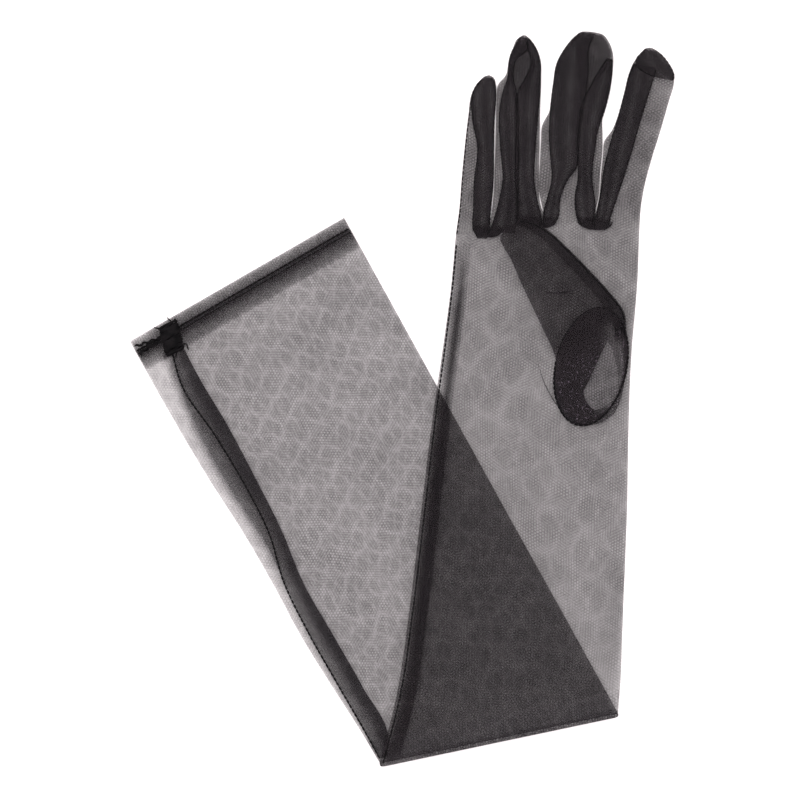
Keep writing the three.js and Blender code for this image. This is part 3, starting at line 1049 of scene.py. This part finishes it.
def make_forearm_seam():
    """The same seam on the forearm, along its left edge."""
    shares = np.linspace(0.0, 0.985, 120)
    edge = edge_at(HAND_LEFT, shares)
    stitch_inset = mix(1.7, 0.7, ease((shares - 0.45) / 0.5))
    inner = edge + np.stack([stitch_inset + 7.2, 0 * shares], -1)
    outer = edge + np.stack([stitch_inset + 1.0, 0 * shares], -1)
    across = np.linspace(0, 1, 9)
    flat = HAND.out(between(outer, inner, across))
    middle = hand_height(flat, HAND_MIDDLE)
    fade = mix(0.15, 1, ease((shares - 0.15) / 0.25)) * (1 - ease((shares - 0.86) / 0.12))
    density = fade[:, None] * (0.04 + 0.42 * np.exp(-((across - 0.5) / 0.24) ** 2))
    shape = Shape()
    shape.band(flat, middle, 0.25, density)
    allowance = shape.make("forearm_seam_edges", doubled_net, ["forearm_seam_allowance"])
    line = HAND.out(edge + np.stack([stitch_inset, 0 * shares], -1))
    thread = Shape()
    seam = on_hand(line, HAND_UPPER, 0.1)
    thread.dashes(seam, length=2.2, radius=0.46, lift=0.12, gap=0.3)
    stitches = thread.make("forearm_seam_stitches", seam_thread, ["forearm_seam_thread"])
    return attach(allowance, "hand"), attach(stitches, "hand")


def hem_line(depth, inset, count=90):
    """A line of points across the sleeve, parallel to the cuff's edge."""
    left, right = np.array(SLEEVE_LEFT[-1]), np.array(SLEEVE_RIGHT[-1])
    shares = np.linspace(0, 1, count)[:, None]
    return SLEEVE.out(mix(left + (inset, -depth), right + (-inset, -depth), shares))


def make_hem():
    """The cuff's edge, turned in on both sides and stitched down."""
    depths, covers = np.array(HEM_COVER).T
    flat = np.stack([hem_line(depth, 0.3) for depth in depths])
    shape = Shape()
    for level in (SLEEVE_UNDER + 0.3, SLEEVE_UPPER - 0.3):
        shape.grid(on_sleeve(flat, level), flat, covers[:, None])
    band = shape.make("cuff_hem", doubled_net, ["cuff_hem_under", "cuff_hem_upper"])
    thread = Shape()
    for depth, radius in ((HEM_STITCH, 0.55), (HEM_STITCH + 1.8, 0.3)):
        seam = on_sleeve(hem_line(depth, 0.8), SLEEVE_UPPER, 0.15)
        thread.dashes(seam, length=2.2, radius=radius, lift=0.12)
    zigzag = (on_sleeve(hem_line(HEM_STITCH + d, 1), SLEEVE_UPPER, -0.15) for d in (0.8, 3.6))
    thread.overlock(*zigzag, pitch=1.6, radius=0.12)
    stitches = thread.make("cuff_hem_stitches", seam_thread, ["cuff_hem_thread"])
    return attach(band, "sleeve"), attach(stitches, "sleeve")


def make_tack():
    """Thread wound over the end of the side seam, with loose ends and strands out to the corner."""
    shape = Shape()
    turns = np.linspace(0, 1, 1500)
    angle, drift = turns * 2 * math.pi * 44, turns * 2 * math.pi * 3.3
    x = 4.8 * np.cos(angle) * (0.92 + 0.08 * np.sin(drift * 2.3))
    y = 4.4 * np.sin(drift) + 2.4 * np.sin(angle * 0.37)
    z = 0.8 + 0.9 * np.sin(angle) * np.cos(y / 8)
    flat = SLEEVE.out(np.stack([x + 0.25 * y, y], -1) + TACK)
    shape.thread(lifted(flat, SLEEVE_UPPER + z), 0.45)
    t = np.linspace(0, 1, 9)[:, None]
    for start, reach in TACK_ENDS:
        end = t * reach + np.sin(t * 5) * (0.7, 0) + start
        shape.thread(lifted(SLEEVE.out(end + TACK), SLEEVE_UPPER + 0.6 - 0.2 * t[:, 0]), 0.32)
    t = np.linspace(0, 1, 30)[:, None]
    for start, stop in TACK_STRANDS:
        strand = mix(np.array(start), np.array(stop), t) + np.sin(t * 23 + stop[1]) * (0, 0.45)
        shape.thread(lifted(SLEEVE.out(strand + TACK), SLEEVE_UPPER + 0.35), 0.55)
    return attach(shape.make("seam_tack", seam_thread, ["cuff_seam_tack"]), "sleeve")


# ---- Table, light and camera ----

WARM_WHITE = (1, 0.935, 0.945)


def make_stage():
    mesh = bpy.data.meshes.new("table")
    corners = [(x, y, 0) for x, y in ((-4, -4), (4, -4), (4, 4), (-4, 4))]
    mesh.from_pydata(corners, [], [(0, 1, 2, 3)])
    mesh.materials.append(table_material())
    add_object("table", mesh)

    world = bpy.data.worlds.new("studio")
    world.use_nodes = True
    background = world.node_tree.nodes["Background"]
    background.inputs["Color"].default_value = (*WARM_WHITE, 1)
    background.inputs["Strength"].default_value = 1.25
    bpy.context.scene.world = world

    lamp = bpy.data.lights.new("softbox", "AREA")
    lamp.size, lamp.energy, lamp.color = 1.8, 34, WARM_WHITE
    softbox = add_object("softbox", lamp)
    softbox.location = (-0.35, 0.45, 1.55)
    softbox.rotation_euler = Vector(softbox.location).to_track_quat("Z", "Y").to_euler()
    softbox.visible_camera = False


def make_camera():
    data = bpy.data.cameras.new("camera")
    data.lens, data.sensor_width = 100, 36
    view_width = 0.384            # metres across, at the top of the hand
    distance = view_width * data.lens / data.sensor_width
    camera = add_object("camera", data)
    camera.location = (-0.0005, -0.0007, distance + HAND_UPPER * MM)
    bpy.context.scene.camera = camera
    bpy.context.scene.view_settings.view_transform = "Standard"


# ---- The whole glove ----

sleeve_net = make_sleeve()
fold_outer, fold_inner = make_fold()
forearm_net, knuckles_under, knuckles_upper = make_forearm()

for order, name in enumerate(FINGER):
    share = slice(order * COLUMNS, (order + 1) * COLUMNS + 1)
    outer_sides = order == 0, order == len(FINGER) - 1
    make_finger(
        name, knuckles_under[share], knuckles_upper[share], outer_sides)

fork_ends = make_fork_ends()
thumb_net, thumb_edge, thumb_stitches = make_thumb()
hole_edges, hole_stitches = make_thumb_hole()
sleeve_ribbon, sleeve_stitches = make_sleeve_seam()
forearm_allowance, forearm_stitches = make_forearm_seam()
hem_band, hem_stitches = make_hem()
tack = make_tack()

make_stage()
make_camera()
